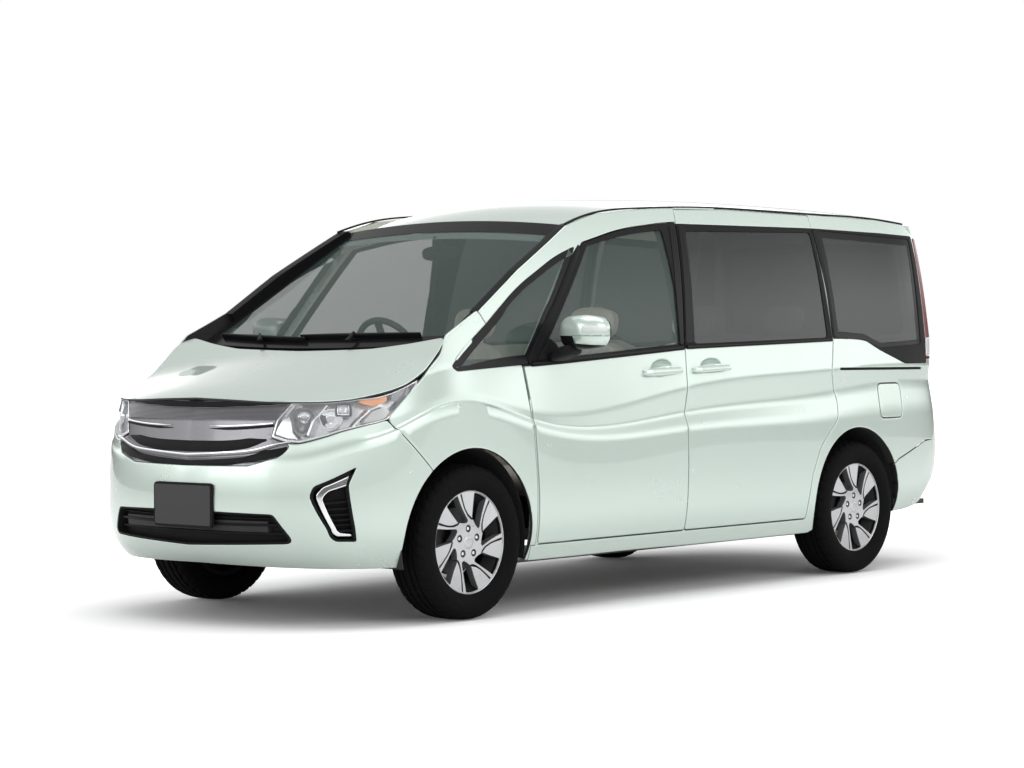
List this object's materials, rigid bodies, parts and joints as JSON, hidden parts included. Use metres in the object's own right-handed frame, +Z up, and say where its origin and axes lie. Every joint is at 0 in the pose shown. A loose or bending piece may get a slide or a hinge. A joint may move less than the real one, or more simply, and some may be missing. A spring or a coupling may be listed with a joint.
{
  "type": "minivan",
  "caption": "Tall one-box family minivan with sliding rear side doors, hinged front doors, a top-hung tailgate, an opening bonnet, steered front wheels and a hollow glazed cabin.",
  "frame": {"origin": "on the ground midway along the vehicle, on its centre plane", "axes": "+X points forward to the nose, +Y to the vehicle's left side, +Z up"},
  "size_m": [4.6866, 2.08, 1.8404],
  "materials": {
    "body_paint": "pale mint-white metallic paint under clear lacquer, glossy",
    "mirror_shell": "painted plastic cap in the body colour over a black foot",
    "grille_black": "smoked glossy black with chrome strips",
    "clear_lamp": "clear moulded lens over chrome bowls",
    "red_lamp": "red moulded lens with a clear lower segment",
    "clear_glass": "lightly green tinted safety glass",
    "dark_glass": "dark privacy glass",
    "black_plastic": "unpainted grained black plastic",
    "underbody_steel": "satin black primer and underseal",
    "cast_metal": "rough casting with a machined brake disc",
    "exhaust_steel": "dull stainless steel",
    "tank_plastic": "blow-moulded black plastic",
    "dash_plastic": "dark grained soft-touch plastic",
    "seat_fabric": "light grey-beige woven seat cloth",
    "alloy_wheel": "machined silver faces with dark pockets",
    "tyre_rubber": "black rubber"
  },
  "bodies": {
    "body_shell": {"cowl": "black_plastic", "dashboard": "dash_plastic", "engine": "cast_metal", "exhaust": "exhaust_steel", "fender_left": "body_paint", "fender_right": "body_paint", "floor_pan": "underbody_steel", "fog_panels": "grille_black", "front_bumper": "body_paint", "front_frame": "underbody_steel", "front_quarter_glass": "clear_glass", "front_seats": "seat_fabric", "front_subframe": "underbody_steel", "fuel_tank": "tank_plastic", "grille": "grille_black", "headlamps": "clear_lamp", "privacy_glass": "dark_glass", "rear_axle": "underbody_steel", "rear_bumper": "body_paint", "rear_seats": "seat_fabric", "roof": "body_paint", "side_frame_left": "body_paint", "side_frame_right": "body_paint", "sliding_door_left": "body_paint", "sliding_door_right": "body_paint", "tail_lamps": "red_lamp", "wheel_house_front_left": "underbody_steel", "wheel_house_front_right": "underbody_steel", "wheel_house_rear_left": "underbody_steel", "wheel_house_rear_right": "underbody_steel", "windscreen": "clear_glass"},
    "front_door_left_body": {"front_door_left": "body_paint", "door_glass_left": "clear_glass", "door_mirror_left": "mirror_shell"},
    "front_door_right_body": {"front_door_right": "body_paint", "door_glass_right": "clear_glass", "door_mirror_right": "mirror_shell"},
    "tailgate_body": {"tailgate": "body_paint", "tailgate_glass": "dark_glass"},
    "bonnet_body": {"bonnet": "body_paint"},
    "fuel_flap_body": {"fuel_flap": "body_paint"},
    "steering_wheel_body": {"steering_wheel": "dash_plastic"},
    "knuckle_left_body": {"knuckle_left": "cast_metal"},
    "knuckle_right_body": {"knuckle_right": "cast_metal"},
    "wheel_front_left_body": {"wheel_front_left": "alloy_wheel", "tyre_front_left": "tyre_rubber"},
    "wheel_front_right_body": {"wheel_front_right": "alloy_wheel", "tyre_front_right": "tyre_rubber"},
    "wheel_rear_left_body": {"wheel_rear_left": "alloy_wheel", "tyre_rear_left": "tyre_rubber"},
    "wheel_rear_right_body": {"wheel_rear_right": "alloy_wheel", "tyre_rear_right": "tyre_rubber"}
  },
  "joints": [
    {"name": "steer_left", "type": "hinge", "parent": "body_shell", "child": "knuckle_left_body", "pos_m": [1.48, 0.65, 0.326], "axis": [0, 0, 1], "range_deg": [-35, 35]},
    {"name": "steer_right", "type": "hinge", "parent": "body_shell", "child": "knuckle_right_body", "pos_m": [1.48, -0.65, 0.326], "axis": [0, 0, 1], "range_deg": [-35, 35]},
    {"name": "steering_wheel_turn", "type": "hinge", "parent": "body_shell", "child": "steering_wheel_body", "pos_m": [0.7, -0.36, 1.09], "axis": [-0.8988, 0, 0.4384], "range_deg": [-560, 560]},
    {"name": "front_door_left_hinge", "type": "hinge", "parent": "body_shell", "child": "front_door_left_body", "pos_m": [1.03, 0.822, 0.6], "axis": [0, 0, 1], "range_deg": [-68, 0]},
    {"name": "front_door_right_hinge", "type": "hinge", "parent": "body_shell", "child": "front_door_right_body", "pos_m": [1.03, -0.822, 0.6], "axis": [0, 0, 1], "range_deg": [0, 68]},
    {"name": "tailgate_hinge", "type": "hinge", "parent": "body_shell", "child": "tailgate_body", "pos_m": [-2.095, 0, 1.787], "axis": [0, 1, 0], "range_deg": [0, 85]},
    {"name": "bonnet_hinge", "type": "hinge", "parent": "body_shell", "child": "bonnet_body", "pos_m": [1.695, 0, 1.07], "axis": [0, -1, 0], "range_deg": [0, 50]},
    {"name": "fuel_flap_hinge", "type": "hinge", "parent": "body_shell", "child": "fuel_flap_body", "pos_m": [-1.613, 0.834, 0.85], "axis": [0, 0, -1], "range_deg": [0, 95]},
    {"name": "wheel_front_left_spin", "type": "hinge", "parent": "knuckle_left_body", "child": "wheel_front_left_body", "pos_m": [1.48, 0.7325, 0.326], "axis": [0, 1, 0], "continuous": true},
    {"name": "wheel_front_right_spin", "type": "hinge", "parent": "knuckle_right_body", "child": "wheel_front_right_body", "pos_m": [1.48, -0.7325, 0.326], "axis": [0, 1, 0], "continuous": true},
    {"name": "wheel_rear_left_spin", "type": "hinge", "parent": "body_shell", "child": "wheel_rear_left_body", "pos_m": [-1.41, 0.7325, 0.326], "axis": [0, 1, 0], "continuous": true},
    {"name": "wheel_rear_right_spin", "type": "hinge", "parent": "body_shell", "child": "wheel_rear_right_body", "pos_m": [-1.41, -0.7325, 0.326], "axis": [0, 1, 0], "continuous": true}
  ],
  "couplings": [
    {"joint": "steer_right", "follows": "steer_left", "ratio": 1},
    {"joint": "steering_wheel_turn", "follows": "steer_left", "ratio": 16}
  ]
}
